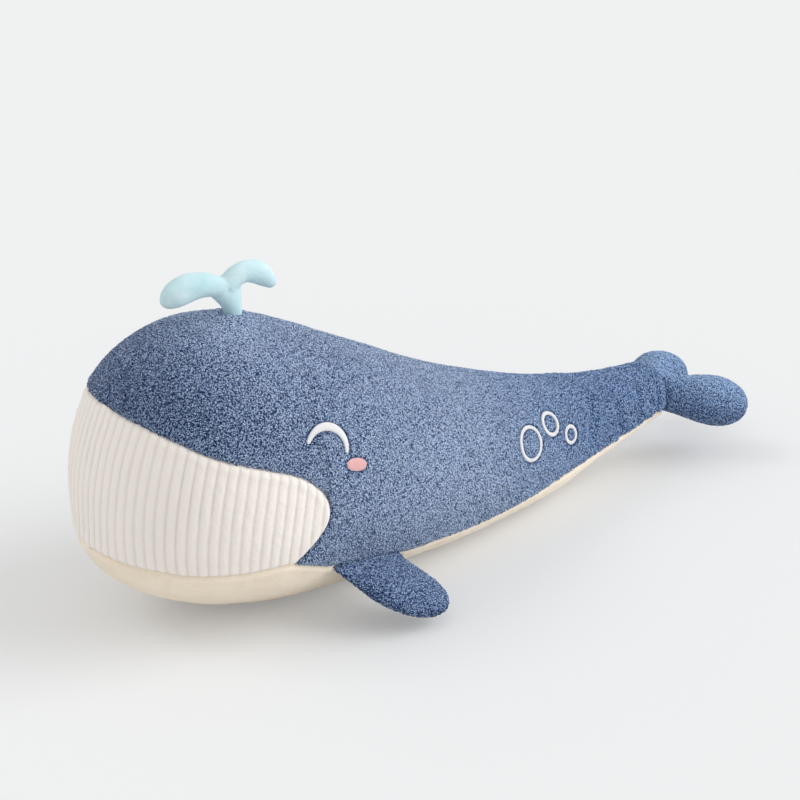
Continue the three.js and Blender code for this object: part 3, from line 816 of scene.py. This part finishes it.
def makeBack(word, side, seed, look):
    # Height = filling + pile and clumps, less what seams, ridge, stitches, fin root and folds
    # draw in, plus the heap round the spout. Over the seams the pile hangs a little.
    cloth = Cloth(backGrids(look, side))
    base, normals = cloth.base, cloth.normals
    gap, towards = nearestSeam(base, throatSeams(side) + [bellySeam(hornX, side)])
    ridgeX = np.linspace(crownX, bodyForm["length"] - look["ridgeStop"], look["ridgeSteps"])
    ridgeGap = distanceTo(base, bodyPoint(ridgeX, pi / 2, 1), look["ridgeReach"])
    root = finRootLine(side, look["rootInset"], look["rootSteps"])
    rootGap = distanceTo(base, root, look["rootReach"])
    spoutGap = np.hypot(base[:, 0] - spoutForm["hinge"][0], base[:, 1])
    held, stitchShade = pressedUnder(base, side)
    pile = curls(base, normals, look["pileSize"], seed)
    height = lumps(base, stuffing) + lumps(base, clumps, seed) * (1 - held)
    height += look["pileHeight"] * (pile - strandForm["rest"]) * (1 - look["pressed"] * held)
    height += sewn(gap, look["seam"]) - stitchLook["sunk"] * held
    height -= look["ridgeRoll"] * bell(ridgeGap, look["ridgeWidth"])
    height -= look["rootCrease"] * bell(rootGap, look["rootWidth"])
    height += look["heap"] * bell(spoutGap - look["heapAt"], look["heapWidth"]) * (normals[:, 2] > 0)
    for start, end, depth, width in look["creases"]:
        line = flankPoint(*np.linspace(start, end, look["creaseSteps"]).T, side)
        reach = distanceTo(base, line, look["creaseReach"] * width)
        lip = look["creaseLip"] * bell(reach - look["creaseLipAt"] * width, width)
        height += depth * (lip - bell(reach, width))
    hung = look["overhang"] * (look["hangLeast"] + pile) * bell(gap - look["hangAt"], look["hangWidth"])
    outer = base + normals * height[:, None] + towards * hung[:, None]
    outer[:, 1] = side * np.maximum(side * outer[:, 1], halfSeamGap)
    points, faces = cloth.closed(outer, look["backing"])
    # Share of the painted tail shade, growing from tintFrom to tintTo along x
    tint = np.clip((points[:, 0] - look["tintFrom"]) / (look["tintTo"] - look["tintFrom"]), 0, 1)
    shown = backShade(look, base, normals, pile, gap, held, stitchShade)
    # The pile attribute is the pile's height with the painted light and shade added
    makePiece("back" + word, points, faces, "blue_fleece", ["back_" + word.lower()],
              fill=look["fill"], pile=shown, tint=tint)


# Limbs: fins and flukes

limbLook = dict(around=208, pileHeight=1.8, pileSize=2.7, fill=0.75, uneven=((0.7, 30, 0.0),),
                seamRoll=1.1, seamWidth=1.8, rootCrease=0, creaseAt=1, creaseWidth=3)
finLook = dict(
    limbLook, rootX=259, rootAngle=-30, rootTilt=9, rootHalf=46, rounding=6, reach=81, widestAt=35,
    widestHalf=44.5, halfThickness=12, droop=25, sweep=23, rootOffset=6.3,
    columns=144, tightShade=0.9, topLight=0.3, tint=0.55, bendFrom=-6, bendTo=24, intoBody=9,
)
flukeLook = dict(
    limbLook, rootX=764.55, rootHeight=79, rootHalf=20.5, rounding=23.6, reach=98, widestAt=55,
    widestHalf=36, halfThickness=29.5, splay=36, droop=11, sweep=0, seatHalf=17, seatRounding=15,
    columns=152, tightShade=0.3, topLight=0.7, tint=1.0, rootCrease=3.2, bendFrom=-8, bendTo=34,
    intoBody=26,
)


def finAxes(side):
    # Hinge point, and the directions out along the fin, across it and over it
    look = finLook
    root = bodyPoint(look["rootX"], radians(look["rootAngle"]), side)
    drop = look["rootHalf"] * tan(radians(look["rootTilt"]))
    fore = flankPoint(look["rootX"] - look["rootHalf"], root[2] + drop, side)
    aft = flankPoint(look["rootX"] + look["rootHalf"], root[2] - drop, side)
    across = unit(aft - fore)
    droop = radians(look["droop"])
    hang = np.array([0, side * cos(droop), -sin(droop)])
    out = unit(hang - across * (hang @ across))
    hinge = root + look["rootOffset"] * bodyNormal(root)
    return hinge, out, across, upward(np.cross(out, across))


def flukeAxes(side):
    # The same for a fluke, whose oval root is seated against the tail's end and the other's
    look = flukeLook
    splay, droop = radians(look["splay"]), radians(look["droop"])
    aft = np.array([cos(splay), side * sin(splay), 0])
    across = np.array([sin(splay), -side * cos(splay), 0])
    out = aft * cos(droop) - np.array([0, 0, sin(droop)])
    seat = np.hypot(look["seatRounding"] * aft, look["seatHalf"] * across)
    hinge = np.array([look["rootX"] + seat[0], side * (halfSeamGap + seat[1]), look["rootHeight"]])
    return hinge, out, across, upward(np.cross(out, across))


def limbGrid(look, axes):
    # Ovals across the way out. Their half sizes stay at the root's inside the body, swell as
    # (1 - cos)/2 to the widest place, and close as a quarter of an ellipse at the tip.
    hinge, out, across, over = axes
    lead, widest, beyond = look["intoBody"], look["widestAt"], look["reach"] - look["widestAt"]
    tipSteps = look["columns"] // 2
    inner = -lead + (lead + widest) * np.linspace(0, 1, look["columns"] - tipSteps + 1)[:-1]
    outer = widest + beyond * np.sin(np.linspace(0, pi / 2, tipSteps + 1))
    distance = np.hstack([inner, outer])
    swell = (1 - np.cos(np.clip(distance / widest, 0, 1) * pi)) / 2
    close = np.sqrt(1 - np.clip((distance - widest) / beyond, 0, 1) ** 2)
    close[0] = 0
    half = (look["rootHalf"] + (look["widestHalf"] - look["rootHalf"]) * swell) * close
    thick = (look["rounding"] + (look["halfThickness"] - look["rounding"]) * swell) * close
    shift = np.maximum(distance, 0) * tan(radians(look["sweep"]))
    angle = np.linspace(0, 2 * pi, look["around"] + 1)
    return (hinge + distance[:, None, None] * out
            + (shift[:, None, None] + half[:, None, None] * np.cos(angle)[:, None]) * across
            + thick[:, None, None] * np.sin(angle)[:, None] * over)


def makeLimb(kind, word, look, axes, seed):
    # Height = pile, clumps and filling, less the crease at the root and the seam round the
    # edge. Painted light makes the pile lighter where it faces up, and painted shade darkens the whole
    # limb.
    hinge, out, across, over = axes
    base, normals, faces, _ = closedForm(limbGrid(look, axes))
    fromHinge = base - hinge
    pile = curls(base, normals, look["pileSize"], seed)
    height = look["pileHeight"] * (pile - strandForm["rest"])
    height += lumps(base, clumps + look["uneven"], seed)
    creaseGap = base[:, 0] - bodyForm["length"] - look["creaseAt"]
    height -= look["rootCrease"] * bell(creaseGap, look["creaseWidth"])
    height -= look["seamRoll"] * bell(fromHinge @ over, look["seamWidth"]) * (fromHinge @ out > 0)
    points = base + normals * height[:, None]
    points[:, 2] = np.maximum(points[:, 2], restingHeight)
    ends = [toFrame(hinge + out * look[k]) for k in ("bendFrom", "bendTo")]
    body = f"{kind}_{word.lower()}"
    nodes = [f"{body}_{layer}" for layer in ("upper", "lower", "filling")]
    makePiece(kind + word, points, faces, "blue_fleece", nodes, body, ends, look["fill"],
              # Pile height, with painted shade all over and painted light on the upper side; tint is
              # the share of the painted tail shade
              pile=pile - look["tightShade"] + look["topLight"] * normals[:, 2],
              tint=np.full(len(points), look["tint"]))


for (word, side), seed in zip(sides, (0.0, 31.7)):
    makeBack(word, side, seed, backLook)
    print(word.lower(), "half of the back made")

for (word, side), seed in zip(sides, (3.1, 17.9)):
    makeLimb("fin", word, finLook, finAxes(side), seed)
    makeLimb("fluke", word, flukeLook, flukeAxes(side), seed)
print("fins and flukes made")


# Throat: ribbed plush round the snout

throatLook = dict(
    axisX=235, lean=0.055, leanFrom=150, leanRounds=4, ringHeight=156.0, ringSteps=700,
    halvings=40, rows=112, backing=6.0, fill=0.8,
    pitch=11.08, grooveAt=6.7, perRib=10, ribDepth=1.35, ribRest=0.75, ribRoundness=0.55,
    ribFade=5, wander=((0.35, 26, 2.2),), uneven=((0.25, 6, 1.4), (0.2, 3.2, 8.1)),
    seam=dict(roll=2.6, width=2.2, puff=0.8, puffAt=8, puffWidth=4.5),
)


def ribLean(upright, height):
    # How far a rib line has turned on about the upright axis at that height
    look = throatLook
    return radians(look["lean"]) * (height - look["leanFrom"]) * np.sin(upright)


def throatTurn(points):
    # The rib line through a point: its turn, less the ribs' lean, closed in on by rounds
    turn = np.arctan2(np.abs(points[..., 1]), throatLook["axisX"] - points[..., 0])
    upright = turn
    for _ in range(throatLook["leanRounds"]):
        upright = turn - ribLean(upright, points[..., 2])
    return upright


def rayOnBody(upright, height):
    # Where a level ray from the axis, along that rib line, meets the body, by halving
    axis, turn = throatLook["axisX"], upright + ribLean(upright, height)

    def at(reach):
        return stacked(axis - reach * np.cos(turn), reach * np.sin(turn), height)

    near, far = np.zeros(turn.shape), np.full(turn.shape, float(axis))
    for _ in range(throatLook["halvings"]):
        middle = (near + far) / 2
        outside = bodyReach(at(middle)) > 1
        near, far = np.where(outside, near, middle), np.where(outside, middle, far)
    return at((near + far) / 2)


def seamTurns(branch, start, run):
    # The rib lines through a seam, from its point at start on, and their heights there
    line = np.vstack([(start, seamHeight(branch, start)), run])
    turn = throatTurn(flankPoint(*line.T, 1))
    turn[0] = 0
    order = np.argsort(turn)
    return turn[order], line[order, 1]


def throatGrid(look):
    # Columns are rib lines at even steps round the snout, and rows go from the lower seam to
    # the upper. With the grid comes each point's arc round the snout.
    upper = seamTurns(upperBranch, crownX, upperBranch[upperBranch[:, 0] > crownX])
    front = bellyLine[(bellyLine[:, 0] > chinX) & (bellyLine[:, 0] < hornX)]
    lower = seamTurns(bellyLine, chinX, np.vstack([front, returnBranch]))
    turns = np.linspace(0, min(upper[0][-1], lower[0][-1]), look["ringSteps"])
    arc = arcAlong(rayOnBody(turns, look["ringHeight"]))
    half = int(np.ceil(arc[-1] / look["pitch"] * look["perRib"] / Cloth.stride)) * Cloth.stride
    steps = np.linspace(0, arc[-1], half + 1)
    turn = np.interp(steps, arc, turns)
    low, high = np.interp(turn, *lower), np.interp(turn, *upper)
    high[-1] = low[-1] = (high[-1] + low[-1]) / 2
    heights = low[:, None] + (high - low)[:, None] * np.linspace(0, 1, look["rows"] + 1)
    right = rayOnBody(turn[:, None], heights)
    arcs = np.hstack([-steps[::-1], steps[1:]])
    grid = np.vstack([right[::-1] * (1, -1, 1), right[1:]])
    return grid, np.repeat(arcs[:, None], look["rows"] + 1, 1)


def makeThroat(look):
    # Ribs = |sin| of the arc over their pitch, to a power that makes them round with narrow
    # grooves, and faded out at the seams
    grid, arcs = throatGrid(look)
    cloth = Cloth([grid])
    base, normals = cloth.base, cloth.normals
    arc = arcs.reshape(-1)[cloth.first] + lumps(base, look["wander"])
    rib = np.abs(np.sin((arc - look["grooveAt"]) / look["pitch"] * pi)) ** look["ribRoundness"]
    seams = [seam for _, side in sides
             for seam in throatSeams(side) + [seamPath(bellyLine, chinX, hornX, side)]]
    gap = nearestSeam(base, seams)[0]
    height = lumps(base, stuffing + look["uneven"]) + sewn(gap, look["seam"])
    height += look["ribDepth"] * (rib - look["ribRest"]) * np.clip(gap / look["ribFade"], 0, 1)
    points, faces = cloth.closed(base + normals * height[:, None], look["backing"])
    # The rib attribute gives the finish its painted shade in the grooves
    makePiece("throatPanel", points, faces, "ribbed_plush", ["throat"], fill=look["fill"], rib=rib)


makeThroat(throatLook)
print("throat made")


# Belly: smooth cream plush from chin to tail

bellyPanelLook = dict(
    columns=400, rows=160, backing=6.0, fill=0.8, sink=4.0, sinkUnder=34,
    uneven=((0.35, 8, 4.4), (0.3, 3.6, 9.9)),
    seam=dict(roll=2.6, width=2.4, puff=0.8, puffAt=7, puffWidth=4),
)


def bellyGrid(look):
    # Columns are body sections, and rows swing from the left seam through the bottom to the right
    x = evenStations(chinX, bodyForm["length"], look["columns"], -pi / 2)
    waist, half, rise, drop = bodySection(x)
    reach = pi / 2 + seamAngles(bellyLine, x)
    reach[0] = 0
    reach[-1] = reach[-2]
    swing = np.linspace(-1, 1, look["rows"] + 1) * reach
    z = waist[:, None] - drop[:, None] * bent(np.cos(swing))
    return stacked(x[:, None], half[:, None] * bent(np.sin(swing)), z)


def makeBelly(look):
    # Height = filling and unevenness, drawn in at the seams. The lowest part sinks by the
    # square of how low it is, and lies flat on the floor.
    cloth = Cloth([bellyGrid(look)])
    base, normals = cloth.base, cloth.normals
    gap = nearestSeam(base, [bellySeam(chinX, side) for _, side in sides])[0]
    height = lumps(base, stuffing + look["uneven"]) + sewn(gap, look["seam"])
    outer = base + normals * height[:, None]
    low = np.clip(1 - outer[:, 2] / look["sinkUnder"], 0, 1)
    outer[:, 2] = np.maximum(outer[:, 2] - look["sink"] * low ** 2, restingHeight)
    points, faces = cloth.closed(outer, look["backing"])
    makePiece("bellyPanel", points, faces, "cream_plush", ["belly", "body_filling"], fill=look["fill"])


makeBelly(bellyPanelLook)
print("belly made")


# Embroidery: bands of satin stitch

def satinBand(kind, word, line, halfStrokes, slot, closedRing=False):
    # A half-round band along the line. Its threads run across it, each a small hump.
    look = stitchLook
    arc = arcAlong(line)
    at = np.linspace(0, arc[-1], int(arc[-1] / look["threadPitch"]) * look["perThread"] + 1)
    path = resampled(line, at, arc)
    half = np.interp(at, arc, halfStrokes)[:, None]
    normal = bodyNormal(path)
    tangent = np.gradient(path, axis=0)
    if closedRing:
        tangent[0] = tangent[-1] = path[1] - path[-2]
    across = unit(np.cross(normal, tangent))
    turn = np.linspace(0, 2 * pi, look["around"] + 1)
    over = np.sin(turn)
    thread = np.abs(np.sin(at / look["threadPitch"] * pi))[:, None]
    rise = look["rise"] * np.minimum(half / half.max() * look["shoulder"], 1)
    crown = rise * np.abs(over) ** look["roundness"] * (1 - look["humpRise"] * (1 - thread))
    lift = np.where(over > 0, crown, look["under"] * over) + look["ground"] - look["sunk"]
    width = half * np.cos(turn) * (1 - look["humpWidth"] * (1 - thread))
    grid = path[:, None] + width[..., None] * across[:, None] + lift[..., None] * normal[:, None]
    if closedRing:
        grid[-1] = grid[0]
    else:
        grid[0], grid[-1] = grid[0].mean(0), grid[-1].mean(0)
    grid[:, -1] = grid[:, 0]
    points, _, faces, first = closedForm(grid)
    # Painted shade in the gaps between threads, passed to the finish as the thread attribute
    shade = np.broadcast_to(thread, grid.shape[:2]).reshape(-1)[first]
    makePiece(kind + word, points, faces, slot, [f"{kind}_{word.lower()}"], thread=shade)


def makeStitches(look):
    # Strokes: an eye's swells as a sine from its ends to the middle, a cheek's as a circle
    share, reach = np.linspace(0, 1, 121), np.linspace(-1, 1, 61)
    end, full = look["eyeEndStroke"], look["eyeHalfStroke"]
    toEnd = np.minimum(share, 1 - share) / look["endShare"]
    cap = np.sqrt(1 - np.clip(1 - toEnd, 0, 1) ** 2)
    eyeStrokes = (end + (full - end) * np.sin(share * pi)) * cap + look["least"]
    cheekStrokes = look["cheekHalf"][1] * np.sqrt(1 - reach ** 2) + look["least"]
    for word, side in sides:
        satinBand("eye", word, eyeLine(side, len(share)), eyeStrokes, "white_thread")
        satinBand("cheek", word, cheekLine(side, len(reach)), cheekStrokes, "pink_thread")
    for word, *ring in look["bubbles"]:
        line = bubbleLine(*ring, count=161)
        strokes = np.full(len(line), look["bubbleHalfStroke"])
        satinBand("bubble", word, line, strokes, "white_thread", closedRing=True)


makeStitches(stitchLook)
print("embroidery made")


# Spout: a stem that parts into two drops

def dropGrid(form, drop):
    # Rings along a curve with one control point. Their radius swells as sin^2 to the widest
    # place and closes as a quarter circle, and they are flatter across than along.
    root = np.array(form["hinge"]) + (-form["lean"], 0, form["forkRise"])
    tip = root + (drop["reach"], 0, -drop["fall"])
    crest = root + (drop["reach"] / 2, 0, drop["crest"])
    share = np.sin(np.linspace(0, pi / 2, form["dropRings"] + 1))[:, None]
    centre = (1 - share) ** 2 * root + 2 * share * (1 - share) * crest + share ** 2 * tip
    tangent = 2 * (1 - share) * (crest - root) + 2 * share * (tip - crest)
    tangent = unit(tangent)
    over = stacked(-tangent[:, 2], 0, tangent[:, 0])
    swell = np.sin(np.minimum(share / form["widestShare"], 1) * pi / 2) ** 2
    close = np.clip(share - form["widestShare"], 0, 1) / (1 - form["widestShare"])
    full = form["rootRadius"] + (drop["radius"] - form["rootRadius"]) * swell
    full *= np.sqrt(1 - close ** 2)
    flat = 1 + (form["flatness"] - 1) * swell
    full[0] = 0
    turn = np.linspace(0, 2 * pi, form["around"] + 1)[:, None]
    return (centre[:, None] + (full * flat)[:, None] * np.cos(turn) * np.array([0, 1, 0])
            + full[:, None] * np.sin(turn) * over[:, None])


def stemGrid(form):
    # Rings up the stem, which leans, widens from the foot and closes round inside the fork
    cap = np.sin(np.linspace(0, pi / 2, form["capRings"] + 1)[1:])
    rise = np.linspace(-form["foot"], form["forkRise"], form["stemRings"] + 1)
    rise = np.hstack([rise, form["forkRise"] + form["rounding"] * cap])
    past = np.clip((rise - form["forkRise"]) / form["rounding"], 0, 1)
    close = np.sqrt(1 - past ** 2)
    close[0] = 0
    climb = np.clip(rise / form["forkRise"], 0, 1) ** form["widening"]
    wide = form["footHalf"] + (form["forkHalf"] - form["footHalf"]) * climb
    turn = np.linspace(0, 2 * pi, form["around"] + 1)
    x = (wide * close)[:, None] * np.cos(turn) - form["lean"] * climb[:, None]
    y = (form["rounding"] * close)[:, None] * np.sin(turn)
    return form["hinge"] + stacked(x, y, rise[:, None])


def melted(form, grids):
    # The grids' closed forms as one smoothed skin: its points, normals and faces
    points, faces, start = [], [], 0
    for grid in grids:
        own, _, parts, _ = closedForm(grid)
        faces += [face for part in parts for face in (part + start).tolist()]
        points.append(own)
        start += len(own)
    mesh = bpy.data.meshes.new("spoutRough")
    mesh.from_pydata(toFrame(np.vstack(points)), [], faces)
    rough = addObject("spoutRough", mesh)
    melt = rough.modifiers.new("melt", "REMESH")
    melt.mode, melt.voxel_size = "VOXEL", form["voxel"] / 1000
    soften = rough.modifiers.new("soften", "SMOOTH")
    soften.factor, soften.iterations = form["soften"], form["smoothing"]
    graph = bpy.context.evaluated_depsgraph_get()
    skin = bpy.data.meshes.new_from_object(rough.evaluated_get(graph))
    bpy.data.objects.remove(rough)
    base, normals = np.empty(3 * len(skin.vertices)), np.empty(3 * len(skin.vertices))
    corners = np.empty(len(skin.loops), int)
    skin.vertices.foreach_get("co", base)
    skin.vertices.foreach_get("normal", normals)
    skin.loops.foreach_get("vertex_index", corners)
    return base.reshape(-1, 3) * 1000 - patternShift, normals.reshape(-1, 3), corners.reshape(-1, 4)


def makeSpout(form):
    # Height = unevenness, less the seam that runs round the spout in its middle plane
    grids = [stemGrid(form)] + [dropGrid(form, form[k]) for k in ("foreDrop", "aftDrop")]
    base, normals, quads = melted(form, grids)
    onEdge = np.abs(normals[:, 1]) < form["seamTurn"]
    height = lumps(base, form["uneven"])
    height -= form["seamRoll"] * bell(base[:, 1], form["seamWidth"]) * onEdge
    ends = [toFrame(np.array(form["hinge"]) + (0, 0, form[k])) for k in ("bendFrom", "bendTo")]
    nodes = ["spout_left", "spout_right", "spout_filling"]
    makePiece("spout", base + normals * height[:, None], [quads], "mint_velvet", nodes, "spout",
              ends, form["fill"])


makeSpout(spoutForm)
print("spout made")
